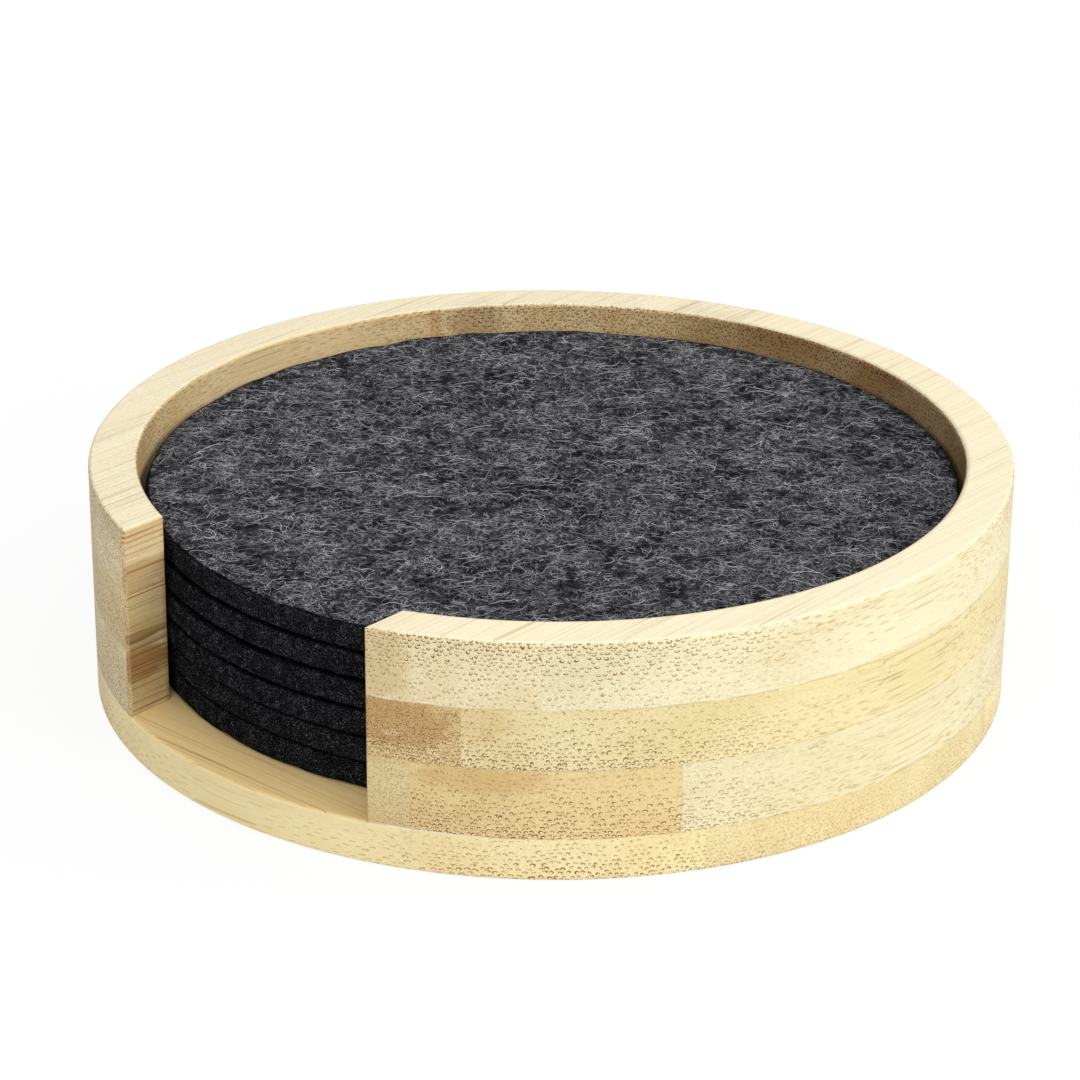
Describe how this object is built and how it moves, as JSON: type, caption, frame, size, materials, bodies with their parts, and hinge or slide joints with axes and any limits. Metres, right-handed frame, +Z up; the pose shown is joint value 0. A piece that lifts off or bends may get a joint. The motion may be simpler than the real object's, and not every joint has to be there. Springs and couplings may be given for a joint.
{
  "type": "coaster set with holder",
  "caption": "Round open bamboo holder, laminated from strips, with a finger slot in its wall and a stack of loose felt drink coasters that lift out.",
  "frame": {"origin": "middle of the holder's underside, on the surface that it stands on", "axes": "+Z up along the well's axis, the finger slot faces -Y"},
  "size_m": [0.115, 0.115, 0.03],
  "materials": {
    "bamboo_base": "sanded, thin clear oil",
    "bamboo_wall": "sanded, thin clear oil",
    "felt": "matte pressed felt"
  },
  "bodies": {
    "holder": {"base_strip_1": "bamboo_base", "base_strip_2": "bamboo_base", "base_strip_3": "bamboo_base", "base_strip_4": "bamboo_base", "base_strip_5": "bamboo_base", "lower_ply_strip_1": "bamboo_wall", "lower_ply_strip_2": "bamboo_wall", "lower_ply_strip_3": "bamboo_wall", "lower_ply_strip_4": "bamboo_wall", "lower_ply_strip_5": "bamboo_wall", "lower_ply_strip_6": "bamboo_wall", "middle_ply_strip_1": "bamboo_wall", "middle_ply_strip_2": "bamboo_wall", "middle_ply_strip_3": "bamboo_wall", "middle_ply_strip_4": "bamboo_wall", "middle_ply_strip_5": "bamboo_wall", "upper_ply_strip_1": "bamboo_wall", "upper_ply_strip_2": "bamboo_wall", "upper_ply_strip_3": "bamboo_wall", "upper_ply_strip_4": "bamboo_wall", "upper_ply_strip_5": "bamboo_wall"},
    "coaster_1": {"felt_coaster_1": "felt"},
    "coaster_2": {"felt_coaster_2": "felt"},
    "coaster_3": {"felt_coaster_3": "felt"},
    "coaster_4": {"felt_coaster_4": "felt"},
    "coaster_5": {"felt_coaster_5": "felt"},
    "coaster_6": {"felt_coaster_6": "felt"}
  },
  "joints": [
    {"name": "coaster_1_lift", "type": "slide", "parent": "holder", "child": "coaster_1", "axis": [0, 0, 1], "range_m": [0, 0.03]},
    {"name": "coaster_2_lift", "type": "slide", "parent": "coaster_1", "child": "coaster_2", "axis": [0, 0, 1], "range_m": [0, 0.0265]},
    {"name": "coaster_3_lift", "type": "slide", "parent": "coaster_2", "child": "coaster_3", "axis": [0, 0, 1], "range_m": [0, 0.023]},
    {"name": "coaster_4_lift", "type": "slide", "parent": "coaster_3", "child": "coaster_4", "axis": [0, 0, 1], "range_m": [0, 0.0195]},
    {"name": "coaster_5_lift", "type": "slide", "parent": "coaster_4", "child": "coaster_5", "axis": [0, 0, 1], "range_m": [0, 0.016]},
    {"name": "coaster_6_lift", "type": "slide", "parent": "coaster_5", "child": "coaster_6", "axis": [0, 0, 1], "range_m": [0, 0.0125]}
  ]
}
